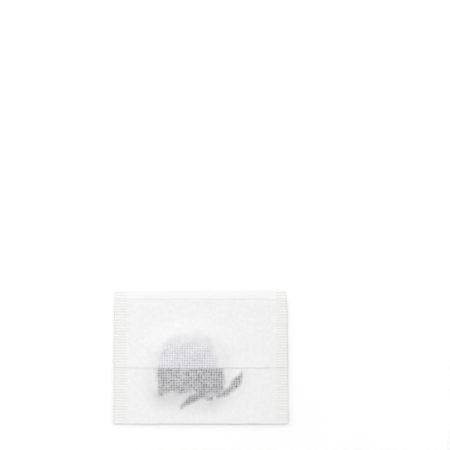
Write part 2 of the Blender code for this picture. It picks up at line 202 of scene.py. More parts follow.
class NodeBench:
    """Places nodes in a tree and joins them by socket name."""

    def __init__(self, tree):
        self.tree = tree

    def node(self, kind, settings=None, **inputs):
        node = self.tree.nodes.new(kind)
        for key, value in (settings or {}).items():
            setattr(node, key, value)
        for key, value in inputs.items():
            self.feed(node.inputs[key.replace("_", " ")], value)
        return node

    def feed(self, socket, value):
        if isinstance(value, bpy.types.NodeSocket):
            self.tree.links.new(value, socket)
        elif isinstance(value, bpy.types.Node):
            self.tree.links.new(value.outputs[0], socket)
        else:
            socket.default_value = value

    def math(self, operation, a, b=None):
        node = self.tree.nodes.new("ShaderNodeMath")
        node.operation = operation
        self.feed(node.inputs[0], a)
        if b is not None:
            self.feed(node.inputs[1], b)
        return node.outputs[0]

    def times(self, value, *factors):
        for factor in factors:
            value = self.math("MULTIPLY", value, factor)
        return value

    def plus(self, a, b):
        return self.math("ADD", a, b)

    def minus(self, a, b):
        return self.math("SUBTRACT", a, b)

    def vector(self, operation, a, b=None, scale=None):
        node = self.tree.nodes.new("ShaderNodeVectorMath")
        node.operation = operation
        self.feed(node.inputs[0], a)
        if b is not None:
            self.feed(node.inputs[1], b)
        if scale is not None:
            self.feed(node.inputs["Scale"], scale)
        return node.outputs["Value" if operation == "LENGTH" else "Vector"]

    def ramp(self, value, low, high, to_low=0.0, to_high=1.0, smooth=True):
        node = self.tree.nodes.new("ShaderNodeMapRange")
        node.interpolation_type = "SMOOTHSTEP" if smooth else "LINEAR"
        for key, given in (
            ("Value", value), ("From Min", low), ("From Max", high), ("To Min", to_low), ("To Max", to_high)
        ):
            self.feed(node.inputs[key], given)
        return node.outputs["Result"]

    def mix(self, share, a, b):
        """Numbers mixed by share."""
        return self.plus(a, self.times(share, self.minus(b, a)))

    def mix_colour(self, share, a, b):
        node = self.tree.nodes.new("ShaderNodeMix")
        node.data_type = "RGBA"
        self.feed(node.inputs["Factor"], share)
        for socket, value in zip([s for s in node.inputs if s.type == "RGBA"], (a, b)):
            self.feed(socket, value)
        return [s for s in node.outputs if s.type == "RGBA"][0]

    def turned(self, vector, angle):
        node = self.node("ShaderNodeVectorRotate", {"rotation_type": "Z_AXIS"}, Vector=vector, Angle=angle)
        return node.outputs[0]

    def split(self, vector):
        return self.node("ShaderNodeSeparateXYZ", Vector=vector).outputs

    def noise(self, place, **inputs):
        """Cloudy numbers round 0.5, over a plane, or through space where W picks one of many."""
        dimensions = "4D" if "W" in inputs else "2D"
        node = self.node("ShaderNodeTexNoise", {"noise_dimensions": dimensions}, Vector=place, **inputs)
        return node.outputs[0]

    def attribute(self, name, output="Fac"):
        return self.node("ShaderNodeAttribute", {"attribute_name": name}).outputs[output]

    def point_value(self, name, data_type="FLOAT"):
        node = self.node("GeometryNodeInputNamedAttribute", {"data_type": data_type}, Name=name)
        return node.outputs[0]

    def group(self, tree, **inputs):
        kind = "GeometryNodeGroup" if tree.bl_idname == "GeometryNodeTree" else "ShaderNodeGroup"
        return self.node(kind, {"node_tree": tree}, **inputs)


def new_group(name, kind, inputs, outputs):
    """A node group with named sockets: the tree, its bench, what it is given and what it makes."""
    tree = bpy.data.node_groups.new(name, kind)
    for label, socket_type, default in inputs:
        socket = tree.interface.new_socket(label, in_out="INPUT", socket_type=socket_type)
        if default is not None:
            socket.default_value = default
    for label, socket_type in outputs:
        tree.interface.new_socket(label, in_out="OUTPUT", socket_type=socket_type)
    given = tree.nodes.new("NodeGroupInput").outputs
    made = tree.nodes.new("NodeGroupOutput").inputs
    return tree, NodeBench(tree), given, made


def run_tree(piece, tree, **values):
    """Adds a Geometry Nodes modifier to the piece and sets its inputs by their identifiers."""
    modifier = piece.modifiers.new(tree.name, "NODES")
    modifier.node_group = tree
    identifiers = {
        item.name.replace(" ", "_"): item.identifier
        for item in tree.interface.items_tree
        if item.item_type == "SOCKET" and item.in_out == "INPUT"
    }
    for name, value in values.items():
        modifier[identifiers[name]] = value


# Heights over the bag's outline


def surface_points(piece):
    """Points spread over every face of a piece."""
    mesh = piece.data
    mesh.calc_loop_triangles()
    corners = np.empty(len(mesh.vertices) * 3)
    mesh.vertices.foreach_get("co", corners)
    corners = corners.reshape(-1, 3)
    faces = np.empty(len(mesh.loop_triangles) * 3, int)
    mesh.loop_triangles.foreach_get("vertices", faces)
    a, b, c = (corners[faces[k::3]] for k in range(3))
    return np.vstack([corners, (a + b) / 2, (b + c) / 2, (c + a) / 2, (a + b + c) / 3])


class Field:
    """Heights over the bag's outline, on a square grid."""

    def __init__(self, cell, height=0.0):
        self.xs = np.linspace(-HALF_WIDTH, HALF_WIDTH, round(BAG_WIDTH / cell) + 1)
        self.ys = np.linspace(-HALF_HEIGHT, HALF_HEIGHT, round(BAG_HEIGHT / cell) + 1)
        self.z = np.full((len(self.xs), len(self.ys)), float(height))

    def steps(self, x, y):
        """Grid steps from the lower left corner."""
        across = (np.asarray(x) + HALF_WIDTH) / (self.xs[1] - self.xs[0])
        up = (np.asarray(y) + HALF_HEIGHT) / (self.ys[1] - self.ys[0])
        return np.clip(across, 0, len(self.xs) - 1.001), np.clip(up, 0, len(self.ys) - 1.001)

    def raise_to(self, x, y, z):
        across, up = self.steps(x, y)
        np.maximum.at(self.z, (np.rint(across).astype(int), np.rint(up).astype(int)), z)

    def at(self, x, y):
        across, up = self.steps(x, y)
        i, j = across.astype(int), up.astype(int)
        u, v = across - i, up - j
        z = self.z
        return lerp(lerp(z[i, j], z[i + 1, j], u), lerp(z[i, j + 1], z[i + 1, j + 1], u), v)

    def spread(self, rounds):
        """Each place takes the highest of its neighbours."""
        for _ in range(rounds):
            wide = np.pad(self.z, 1, mode="edge")
            wide = np.max([wide[:-2], wide[1:-1], wide[2:]], axis=0)
            self.z = np.max([wide[:, :-2], wide[:, 1:-1], wide[:, 2:]], axis=0)

    def soften(self, rounds):
        for _ in range(rounds):
            wide = np.pad(self.z, 1, mode="edge")
            self.z = (wide[:-2, 1:-1] + wide[2:, 1:-1] + wide[1:-1, :-2] + wide[1:-1, 2:] + 4 * self.z) / 8


# The tea


def tea_warp_tree():
    """Bends a piece of tea with all that lies about it, so that neighbours stay apart."""
    tree, bench, given, made = new_group(
        "tea_warp",
        "GeometryNodeTree",
        [
            ("Geometry", "NodeSocketGeometry", None),
            ("Bend", "NodeSocketFloat", 0.3 * MM),
            ("Bend Length", "NodeSocketFloat", 2.6 * MM),
            ("Crinkle", "NodeSocketFloat", 0.06 * MM),
            ("Crinkle Length", "NodeSocketFloat", 0.8 * MM),
            ("Still Below", "NodeSocketFloat", 1.0 * MM),
        ],
        [("Geometry", "NodeSocketGeometry")],
    )
    place = bench.node("GeometryNodeInputPosition")

    def wander(length, height, detail):
        scaled = bench.vector("SCALE", place, scale=bench.math("DIVIDE", 1.0, length))
        noise = bench.node("ShaderNodeTexNoise", Vector=scaled, Scale=1.0, Detail=detail)
        centred = bench.vector("SUBTRACT", noise.outputs["Color"], (0.5, 0.5, 0.5))
        return bench.vector("SCALE", centred, scale=bench.times(height, 4.0))

    offset = bench.vector(
        "ADD",
        wander(given["Bend Length"], given["Bend"], 0.0),
        wander(given["Crinkle Length"], given["Crinkle"], 1.0),
    )
    loose = bench.ramp(bench.split(place)["Z"], 0.0, given["Still Below"])
    lift = bench.node("ShaderNodeCombineXYZ", X=1.0, Y=1.0, Z=loose)
    offset = bench.vector("MULTIPLY", offset, lift)
    moved = bench.node("GeometryNodeSetPosition", Geometry=given["Geometry"], Offset=offset)
    bench.feed(made["Geometry"], moved)
    return tree


def dry_leaf_tree(warp):
    """Gives a whole leaf its bends and its material."""
    tree, bench, given, made = new_group(
        "dry_leaf",
        "GeometryNodeTree",
        [
            ("Geometry", "NodeSocketGeometry", None),
            ("Bend", "NodeSocketFloat", 0.3 * MM),
            ("Crinkle", "NodeSocketFloat", 0.06 * MM),
            ("Material", "NodeSocketMaterial", None),
        ],
        [("Geometry", "NodeSocketGeometry")],
    )
    bent = bench.group(warp, Geometry=given["Geometry"], Bend=given["Bend"], Crinkle=given["Crinkle"])
    real = bench.node("GeometryNodeRealizeInstances", Geometry=bent)
    dressed = bench.node("GeometryNodeSetMaterial", Geometry=real, Material=given["Material"])
    bench.feed(made["Geometry"], dressed)
    return tree


def shaped_leaf(along, across, shares):
    """Draws a leaf in or out about its own middle line, by a share for each place along it."""
    line = np.polynomial.Polynomial.fit(along, across, 2)(along)
    place = (along - along.min()) / np.ptp(along)
    return line + (across - line) * np.interp(place, np.linspace(0, 1, len(shares)), shares)


def set_leaf_grain(mesh, tone, shares):
    """Gives the mesh its place along and across the leaf, in millimetres, its shape and its tone."""
    corners = np.empty(len(mesh.vertices) * 3)
    mesh.vertices.foreach_get("co", corners)
    corners = corners.reshape(-1, 3)
    centre = corners.mean(axis=0)
    middle = corners - centre
    axes = np.linalg.eigh(middle.T @ middle)[1][:, ::-1]
    for k in range(2):
        axes[:, k] *= 1 if axes[np.argmax(np.abs(axes[:, k])), k] > 0 else -1
    grain = (middle @ axes) / MM
    if shares:
        grain[:, 1] = shaped_leaf(grain[:, 0], grain[:, 1], shares)
        mesh.vertices.foreach_set("co", (grain * MM @ axes.T + centre).ravel())
    mesh.attributes.new("grain", "FLOAT_VECTOR", "POINT").data.foreach_set("vector", grain.ravel())
    mesh.attributes.new("tone", "FLOAT", "POINT").data.foreach_set("value", np.full(len(grain), tone))


def leaf_body(node, tone):
    """A smooth, whole copy of one leaf's solid."""
    mesh = node.data.copy()
    work = bmesh.new()
    work.from_mesh(mesh)
    bmesh.ops.remove_doubles(work, verts=work.verts, dist=0.002 * MM)
    bend, skew = math.radians(25), math.radians(60)
    bmesh.ops.join_triangles(work, faces=work.faces, angle_face_threshold=bend, angle_shape_threshold=skew)
    work.to_mesh(mesh)
    work.free()
    mesh.materials.clear()
    set_leaf_grain(mesh, tone, LEAF_SHAPES.get(node.name))
    piece = add_piece("dry_" + node.name, mesh)
    fine = piece.modifiers.new("fine", "SUBSURF")
    fine.levels = fine.render_levels = 2
    return settle_modifiers(piece)


def heap_share(x, y):
    """0 in the middle of the heap's outline, 1 on it and more outside."""
    across = np.abs(x - HEAP_CENTRE[0]) / HEAP_HALF_WIDTH
    up = (y - HEAP_CENTRE[1]) / HEAP_HALF_HEIGHT
    lower = np.where(x < HEAP_CENTRE[0], CORNER_SQUARENESS, LOWER_SQUARENESS)
    power = np.where(up < 0, lower, UPPER_SQUARENESS)
    return across**power + np.abs(up) ** power


def lay_crumbs(leaves):
    """Drops small broken tea, lowest places first. Returns places, turns, sizes and tones."""
    ground = Field(CRUMB_CELL, WEB_THICKNESS + 0.03 * MM)
    for leaf in leaves:
        ground.raise_to(*surface_points(leaf).T)
    chance = np.random.default_rng(21)
    along, across = (g.ravel() for g in np.meshgrid(np.linspace(-0.5, 0.5, 9), np.linspace(-0.5, 0.5, 4)))
    places, turns, sizes, tones = [], [], [], []
    while len(places) < CRUMBS:
        spots = chance.uniform(-1, 1, (SPOTS_TRIED, 2)) * (HEAP_HALF_WIDTH, HEAP_HALF_HEIGHT) + HEAP_CENTRE
        length = lerp(*CRUMB_LENGTH, chance.random() ** 1.5)
        width = min(lerp(*CRUMB_WIDTH, chance.random() ** 1.3), length * CRUMB_BREADTH)
        yaw = chance.uniform(0, math.pi)
        direction = np.array([math.cos(yaw), math.sin(yaw)])
        side = np.array([-direction[1], direction[0]])
        sole = direction * (along * length)[:, None] + side * (across * width)[:, None]
        feet = spots[:, None, :] + sole[None]
        inside = ((feet > CRUMBS_WITHIN[0]) & (feet < CRUMBS_WITHIN[1])).all(axis=2)
        inside &= (feet > CRUMBS_STEP).any(axis=2) | (feet[..., 0] < CRUMBS_CORNER)
        feet = feet[(inside & (heap_share(feet[..., 0], feet[..., 1]) < CRUMBS_SPREAD)).all(axis=1)]
        if not len(feet):
            continue
        spots = feet.mean(axis=1)
        under = ground.at(feet[..., 0], feet[..., 1])
        left, right = under[:, along <= 0].max(axis=1), under[:, along >= 0].max(axis=1)
        slope = np.clip((right - left) / (0.6 * length), -STEEPEST_CRUMB, STEEPEST_CRUMB)
        rest = (under - slope[:, None] * (along * length)).max(axis=1)
        wanted = CRUMBS_HEAPED * (1 - heap_share(*spots.T))
        best = int(np.argmin(rest - wanted + chance.uniform(0, 0.5 * MM, len(rest))))
        level = rest[best] + CRUMB_GAP
        top = level + slope[best] * along * length + CRUMB_THICKNESS * (1 + 4 * CRUMB_CURL * along**2)
        ground.raise_to(feet[best, :, 0], feet[best, :, 1], top + 0.02 * MM)
        places.append((*spots[best], level + CRUMB_THICKNESS / 2))
        turns.append((0, -math.atan(slope[best]), yaw))
        sizes.append((length / math.hypot(1, slope[best]), width, CRUMB_THICKNESS))
        tones.append(chance.random())
    return np.array(places), np.array(turns), np.array(sizes), np.array(tones)


def crumb_tree(warp):
    """One curled chip of leaf on every point, turned and sized by the point's own values."""
    tree, bench, given, made = new_group(
        "tea_crumbs",
        "GeometryNodeTree",
        [
            ("Geometry", "NodeSocketGeometry", None),
            ("Taper", "NodeSocketFloat", 0.75),
            ("Slant", "NodeSocketFloat", 0.35),
            ("Curl", "NodeSocketFloat", CRUMB_CURL),
            ("Bend", "NodeSocketFloat", 0.3 * MM),
            ("Crinkle", "NodeSocketFloat", 0.04 * MM),
            ("Material", "NodeSocketMaterial", None),
        ],
        [("Geometry", "NodeSocketGeometry")],
    )
    slab = bench.node("GeometryNodeMeshCube", Size=(1, 1, 1), Vertices_X=5, Vertices_Y=3, Vertices_Z=2)
    place = bench.split(bench.node("GeometryNodeInputPosition"))
    out = bench.times(bench.math("POWER", place["X"], 2.0), 4.0)
    narrow = bench.times(out, place["Y"], given["Taper"])
    curl = bench.times(out, given["Curl"])
    chip = (bench.times(place["Y"], given["Slant"]), bench.times(narrow, -0.3))
    sliver = (0.0, bench.times(narrow, -1.0))
    shapes = bench.node("GeometryNodeJoinGeometry")
    for x, y in (chip, sliver):
        offset = bench.node("ShaderNodeCombineXYZ", X=x, Y=y, Z=curl)
        shape = bench.node("GeometryNodeSetPosition", Geometry=slab.outputs["Mesh"], Offset=offset)
        bench.feed(shapes.inputs[0], bench.node("GeometryNodeGeometryToInstance", Geometry=shape))
    turn = bench.node("FunctionNodeEulerToRotation", Euler=bench.point_value("turn", "FLOAT_VECTOR"))
    laid = bench.node(
        "GeometryNodeInstanceOnPoints",
        Points=given["Geometry"], Instance=shapes, Pick_Instance=True,
        Instance_Index=bench.math("GREATER_THAN", bench.point_value("kind"), 0.45),
        Rotation=turn, Scale=bench.point_value("size", "FLOAT_VECTOR"),
    )
    real = bench.node("GeometryNodeRealizeInstances", Geometry=laid)
    bent = bench.group(warp, Geometry=real, Bend=given["Bend"], Crinkle=given["Crinkle"])
    dressed = bench.node("GeometryNodeSetMaterial", Geometry=bent, Material=given["Material"])
    bench.feed(made["Geometry"], dressed)
    return tree


def make_crumbs(leaves, warp, material):
    places, turns, sizes, tones = lay_crumbs(leaves)
    mesh = bpy.data.meshes.new("crumb_places")
    mesh.from_pydata(places.tolist(), [], [])
    for name, values in (("turn", turns), ("size", sizes), ("grain", places / MM)):
        mesh.attributes.new(name, "FLOAT_VECTOR", "POINT").data.foreach_set("vector", values.ravel())
    for name, values in (("tone", tones), ("kind", sizes[:, 0] / sizes[:, 1] / 5)):
        mesh.attributes.new(name, "FLOAT", "POINT").data.foreach_set("value", values)
    crumbs = add_piece("tea_crumbs", mesh)
    run_tree(crumbs, crumb_tree(warp), Material=material)
    settle_modifiers(crumbs)
    place = np.empty(len(crumbs.data.vertices) * 3)
    crumbs.data.vertices.foreach_get("co", place)
    crumbs.data.attributes["grain"].data.foreach_set("vector", place / MM)
    crumbs.data.shade_smooth()
    crumbs.data.set_sharp_from_angle(angle=math.radians(40))
    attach(crumbs, "root")
    return crumbs


# The loose web


def freedom(x):
    """0 in a seal, where the layers lie together, and 1 where they part freely."""
    return smooth_step((POCKET_HALF - np.abs(x)) / SEAL_EASE)


def back_height(x):
    return lerp(SEAL_BACK_Z, WEB_THICKNESS / 2, freedom(x))


def fold_radius(x):
    return lerp(LAYER_STEP / 2, FOLD_RADIUS, freedom(x))


def drape_front(tea):
    """The front panel's height: limp web over the tea, held at the seals, the bottom fold and the mouth."""
    cover = Field(DRAPE_CELL)
    cover.raise_to(*tea.T)
    cover.z = np.where(cover.z > 0, cover.z + TEA_CLEARANCE, 0)
    cover.spread(2)
    cover.soften(2)
    web = Field(DRAPE_CELL)
    x, y = np.meshgrid(web.xs, web.ys, indexing="ij")
    fold = back_height(x) + 2 * fold_radius(x)
    bow = np.clip(1 - (x / POCKET_HALF) ** 2, 0, None)
    mouth = np.maximum(fold, back_height(x) + MOUTH_GAPE * bow)
    rise = np.clip((y + HALF_HEIGHT) / FRONT_DEPTH, 0, 1)
    web.z = lerp(fold, mouth, rise)
    held = (np.abs(x) > POCKET_HALF) | (y > MOUTH_Y) | (y < -HALF_HEIGHT + 1.5 * FOLD_RADIUS)
    rest = web.z.copy()
    floor = np.maximum(cover.z, fold)
    z = web.z
    fall = DRAPE_WEIGHT * (DRAPE_CELL / MM) ** 2 / 4
    i, j = np.indices(z.shape)
    inner = np.zeros(z.shape, bool)
    inner[1:-1, 1:-1] = True
    free = inner & ~held
    squares = [free & ((i + j) % 2 == turn) for turn in (0, 1)]
    mean = np.zeros_like(z)
    for turn in range(DRAPE_ROUNDS):
        mean[1:-1, 1:-1] = (z[:-2, 1:-1] + z[2:, 1:-1] + z[1:-1, :-2] + z[1:-1, 2:]) / 4 - fall
        square = squares[turn % 2]
        z[square] = np.maximum(z + DRAPE_PULL * (mean - z), floor)[square]
    web.soften(8)
    web.z = np.where(held, rest, np.maximum(web.z, floor - WEB_GIVE))
    return web


def touch_field(tea, web_height, close_share, reaching=()):
    """1 where tea lies close against the web, 0 where it is out of sight."""
    lie = Field(DRAPE_CELL, -1)
    lie.raise_to(*tea.T)
    lie.spread(1)
    gap = np.abs(web_height.z - lie.z)
    shown = Field(DRAPE_CELL)
    close = 1 - smooth_step((gap - CLOSE_FROM) / CLOSE_REACH)
    near = 1 - smooth_step((gap - TOUCH_FROM) / TOUCH_REACH)
    shown.z = np.where(lie.z > -1, lerp(near, close, close_share), 0)
    for points in reaching:
        shown.raise_to(points[:, 0], points[:, 1], REACHING_TOUCH)
    shown.soften(1 if close_share else 6)
    return shown


# The folded strip


def strip_columns():
    seal = POCKET_HALF + np.array(SEAL_COLUMNS)[1:]
    pocket = np.linspace(-POCKET_HALF, POCKET_HALF, POCKET_COLUMNS + 1)
    return np.concatenate([-seal[::-1], pocket, seal])


def waver(along, size, seed, reach):
    """A gentle wandering of an edge: a few sines with chance phases."""
    chance = np.random.default_rng(seed)
    total = np.zeros_like(along, dtype=float)
    for k in range(1, 6):
        total += np.sin(along / reach * k * 2 * math.pi + chance.uniform(0, 2 * math.pi)) / k
    return total * size / 1.6


class Strip:
    """Rows across the folded strip, from the flap's free edge round to the back panel's."""

    def __init__(self, x):
        self.x = x
        self.rows = []
        self.whole = []  # rows that run through the pocket too

    def add(self, y, z, slack, touch, clear=1.0, whole=True):
        self.rows.append([np.broadcast_to(part, self.x.shape) for part in (y, z, slack, touch, clear)])
        self.whole.append(whole)

    def panel(self, start, end, depth, height, slack, touch, clear=1.0):
        count = round(depth / POCKET_ROW) * ROWS_IN_SEAL
        for k in range(count + 1):
            y = lerp(start, end, k / count)
            self.add(y, height(y), slack, touch(y), clear, k % ROWS_IN_SEAL == 0)

    def fold(self, y, z, radius, outward, slack, touch):
        for k in range(1, FOLD_STEPS):
            turn = math.pi * (0.5 - k / FOLD_STEPS)
            self.add(y + outward * radius * math.cos(turn), z + radius * math.sin(turn), slack, touch)


def folded_strip(front, seen, seen_twice, seen_below):
    """All rows of the strip: the flap, the mouth fold, the front, the bottom fold, the back and its lip."""
    x = strip_columns()
    strip = Strip(x)
    free, radius, back = freedom(x), fold_radius(x), back_height(x)
    inset = radius + WEB_THICKNESS / 2 + EDGE_INSET
    low, top = -HALF_HEIGHT + inset + FOLD_INSET, MOUTH_Y - inset
    flap_edge = FLAP_EDGE_Y + waver(x, FLAP_EDGE_WAVER, 3, BAG_WIDTH) * free
    top_edge = HALF_HEIGHT - EDGE_INSET + waver(x, LIP_EDGE_WAVER, 8, BAG_WIDTH) * free
    flap_rise = FLAP_LIFT * free * np.clip(0.6 + 0.5 * waver(x, 1.0, 5, BAG_WIDTH * 0.8), 0.1, None)
    lip_rise = LIP_LIFT * free * np.clip(0.5 + 0.6 * waver(x, 1.0, 9, BAG_WIDTH * 0.7), 0, None)

    def flap_height(y):
        gap = lerp(np.minimum(FLAP_GAP, 2 * radius), 2 * radius, smooth_step(1 - (top - y) / FLAP_SETTLE))
        return front.at(x, y) + gap + flap_rise * smooth_step(1 - (y - FLAP_EDGE_Y) / FLAP_LIFT_REACH)

    def front_height(y):
        return np.maximum(front.at(x, y), back + 2 * radius)

    def lip_height(y):
        return back + lip_rise * smooth_step(1 - (HALF_HEIGHT - y) / LIP_LIFT_REACH)

    def flap_touch(y):
        beside = FLAP_FADE_BESIDE * (np.maximum(x - FLAP_FADE_X[1], 0) + np.maximum(FLAP_FADE_X[0] - x, 0))
        near = smooth_step((FLAP_FADE_Y - y - beside) / FLAP_FADE_REACH)
        return seen_twice.at(x, y) * (FLAP_TOUCH + FLAP_TOUCH_MORE * near)

    strip.panel(flap_edge, top, FLAP_DEPTH, flap_height, free, flap_touch, FLAP_CLEAR)
    strip.fold(top, front.at(x, top) + radius, radius, 1, free, 0.0)
    strip.panel(top, low, FRONT_DEPTH, front_height, free, lambda y: seen.at(x, y))
    strip.fold(low, back + radius, radius, -1, 0.0, 0.0)
    strip.panel(low, top_edge, BAG_HEIGHT, lip_height, 0.0, lambda y: BACK_TOUCH * seen_below.at(x, y))
    return strip


def edge_curl(x, y):
    """How far the seals and the bottom fold bend up, all their layers together."""
    beside = smooth_step((np.abs(x) - HALF_WIDTH + CURL_REACH) / CURL_REACH)
    below = smooth_step((-y - HALF_HEIGHT + CURL_REACH) / CURL_REACH)
    beside = beside * (1 + waver(y, CURL_UNEVENNESS, 31, BAG_HEIGHT))
    below = below * (1 + waver(x, CURL_UNEVENNESS, 32, BAG_WIDTH))
    return np.where(x < 0, CURL_LEFT, CURL_RIGHT) * beside + CURL_BELOW * below


def outline_waver(x, y):
    """Moves the seals' outer edges by a hair, and rounds the bag's lower corners."""
    edge = smooth_step((np.abs(x) - POCKET_HALF) / SEAL_WIDTH)
    side = np.sign(x)
    astray = waver(y + side * 20 * MM, SIDE_WAVER, 12, BAG_HEIGHT * 1.3) * 0.8
    x = x - side * edge * (SIDE_WAVER + astray)
    x = x - np.where(x > 0, edge * SIDE_LEAN * (y + HALF_HEIGHT) / BAG_HEIGHT, 0)
    over_x = np.abs(x) - (HALF_WIDTH - CORNER_RADIUS)
    over_y = -y - (HALF_HEIGHT - CORNER_RADIUS)
    reach = np.hypot(np.maximum(over_x, 0), np.maximum(over_y, 0))
    corner = (over_x > 0) & (over_y > 0) & (reach > CORNER_RADIUS)
    shrink = np.where(corner, CORNER_RADIUS / np.maximum(reach, 1e-9), 1)
    x = np.where(corner, np.sign(x) * (HALF_WIDTH - CORNER_RADIUS + over_x * shrink), x)
    y = np.where(corner, -(HALF_HEIGHT - CORNER_RADIUS + over_y * shrink), y)
    return x, y


def strip_faces(whole, count):
    """Faces of the strip: fine rows in the seals, every whole row in the pocket, fans between them."""
    inner = len(SEAL_COLUMNS) - 1
    left, right = inner, count - 1 - inner
    faces = []
    for row in range(len(whole) - 1):
        for column in (*range(left), *range(right, count - 1)):
            faces.append([(row, column), (row, column + 1), (row + 1, column + 1), (row + 1, column)])
    marks = np.flatnonzero(whole)
    for start, end in zip(marks[:-1], marks[1:]):
        for column in range(left + 1, right - 1):
            faces.append([(start, column), (start, column + 1), (end, column + 1), (end, column)])
        down = [(row, left) for row in range(end, start, -1)]
        up = [(row, right) for row in range(start, end + 1)]
        faces.append([(start, left), (start, left + 1), (end, left + 1)] + down)
        faces.append([(start, right - 1)] + up + [(end, right - 1)])
    return faces


def strip_mesh(strip):
    """The strip as one mesh, with its values for each point and its own unfolded coordinates."""
    y, z, slack, touch, clear = (np.array([row[k] for row in strip.rows]) for k in range(5))
    x = np.broadcast_to(strip.x, y.shape)
    count = y.shape[1]
    middle = count // 2
    steps = np.hypot(np.diff(y[:, middle]), np.diff(z[:, middle]))
    length = np.broadcast_to(np.concatenate([[0], np.cumsum(steps)])[:, None], y.shape)
    inner = len(SEAL_COLUMNS) - 1
    kept = np.ones(y.shape, bool)
    kept[np.ix_(~np.array(strip.whole), range(inner + 1, count - 1 - inner))] = False
    index = np.cumsum(kept).reshape(y.shape) - 1
    faces = [[int(index[place]) for place in face] for face in strip_faces(strip.whole, count)]
    bent_x, bent_y = outline_waver(x, y)
    points = np.stack([bent_x, bent_y, z + edge_curl(x, y)], axis=-1)[kept]
    mesh = bpy.data.meshes.new("filter_web")
    mesh.from_pydata(points.tolist(), [], faces)
    for name, values in (("slack", slack), ("touch", touch), ("clear", clear)):
        mesh.attributes.new(name, "FLOAT", "POINT").data.foreach_set("value", values[kept])
    unfolded = (np.stack([x + HALF_WIDTH, length], axis=-1) / UV_UNIT)[kept]
    corners = unfolded[[point for face in faces for point in face]]
    mesh.uv_layers.new(name="strip").data.foreach_set("uv", corners.ravel())
    return mesh


def web_finish_tree():
    """Presses the ribs into the seals and gives the loose web its slight wrinkles."""
    tree, bench, given, made = new_group(
        "web_finish",
        "GeometryNodeTree",
        [
            ("Geometry", "NodeSocketGeometry", None),
            ("Seal Start", "NodeSocketFloat", 40.7 * MM),
            ("Rib Pitch", "NodeSocketFloat", 1.5 * MM),
            ("Rib Height", "NodeSocketFloat", 0.24 * MM),
            ("Rib Unevenness", "NodeSocketFloat", 0.4),
            ("Wrinkle Height", "NodeSocketFloat", 0.3 * MM),
            ("Wrinkle Length", "NodeSocketFloat", 14 * MM),
            ("Crinkle Height", "NodeSocketFloat", 0.05 * MM),
            ("Crinkle Length", "NodeSocketFloat", 3 * MM),
            ("Seed", "NodeSocketInt", 4),
            ("Material", "NodeSocketMaterial", None),
        ],
        [("Geometry", "NodeSocketGeometry")],
    )
    place = bench.split(bench.node("GeometryNodeInputPosition"))
    out = bench.math("ABSOLUTE", place["X"])
    seal = bench.ramp(bench.minus(out, given["Seal Start"]), 0.0, 0.5 * MM)
    count = bench.math("DIVIDE", place["Y"], given["Rib Pitch"])
    wave = bench.math("COSINE", bench.times(count, 2 * math.pi))
    side = bench.times(bench.math("SIGN", place["X"]), 40.0)
    which = bench.plus(bench.math("ROUND", count), bench.plus(side, given["Seed"]))
    chance = bench.node("ShaderNodeTexWhiteNoise", {"noise_dimensions": "1D"}, W=which).outputs["Value"]
    depth = bench.times(bench.minus(1.0, bench.times(chance, given["Rib Unevenness"])), given["Rib Height"])
    rib = bench.times(wave, 0.5, depth, seal)
    seed = bench.times(given["Seed"], 3.7)
    flat = bench.node("ShaderNodeCombineXYZ", X=place["X"], Y=place["Y"]).outputs[0]

    def wrinkles(kind, detail, lean, stretch):
        long_way = bench.vector("MULTIPLY", bench.turned(flat, math.radians(lean)), (1.0, stretch, 1.0))
        scaled = bench.vector("SCALE", long_way, scale=bench.math("DIVIDE", 1.0, given[kind + " Length"]))
        return bench.times(bench.noise(scaled, W=seed, Scale=1.0, Detail=detail), given[kind + " Height"])

    loose = bench.plus(wrinkles("Wrinkle", 2.0, 35, 2.6), wrinkles("Crinkle", 3.0, -50, 1.4))
    rise = bench.times(loose, bench.point_value("slack"))
    offset = bench.node("ShaderNodeCombineXYZ", Z=bench.plus(rib, rise))
    moved = bench.node("GeometryNodeSetPosition", Geometry=given["Geometry"], Offset=offset)
    real = bench.node("GeometryNodeRealizeInstances", Geometry=moved)
    dressed = bench.node("GeometryNodeSetMaterial", Geometry=real, Material=given["Material"])
    bench.feed(made["Geometry"], dressed)
    return tree


def make_filter_bag(pieces, material):
    tea = np.vstack([surface_points(piece) for piece in pieces])
    reaching = [surface_points(piece) for piece in pieces if piece.name.removeprefix("dry_") in LEAF_SHAPES]
    front = drape_front(tea)
    back = Field(DRAPE_CELL, -WEB_THICKNESS)
    seen = touch_field(tea, front, CLOSE_SHARE, reaching)
    seen_twice = touch_field(tea, front, 0)
    seen_below = touch_field(tea * (1, 1, -1), back, CLOSE_SHARE)
    strip = folded_strip(front, seen, seen_twice, seen_below)
    bag = add_piece("tea_filter_bag", strip_mesh(strip))
    bag.data.materials.append(material)
    run_tree(bag, web_finish_tree(), Rib_Pitch=RIB_PITCH, Seal_Start=POCKET_HALF, Material=material)
    wall = bag.modifiers.new("thickness", "SOLIDIFY")
    wall.thickness = WEB_THICKNESS
    wall.offset = 0
    settle_modifiers(bag)
    bag.data.shade_smooth()
    bag.data.set_sharp_from_angle(angle=math.radians(55))
    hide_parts("filter_bag")
    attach(bag, "root")
    return bag


# Materials


def new_material(name):
    material = bpy.data.materials.new(name)
    material.use_nodes = True
    return material, NodeBench(material.node_tree), material.node_tree.nodes["Principled BSDF"]


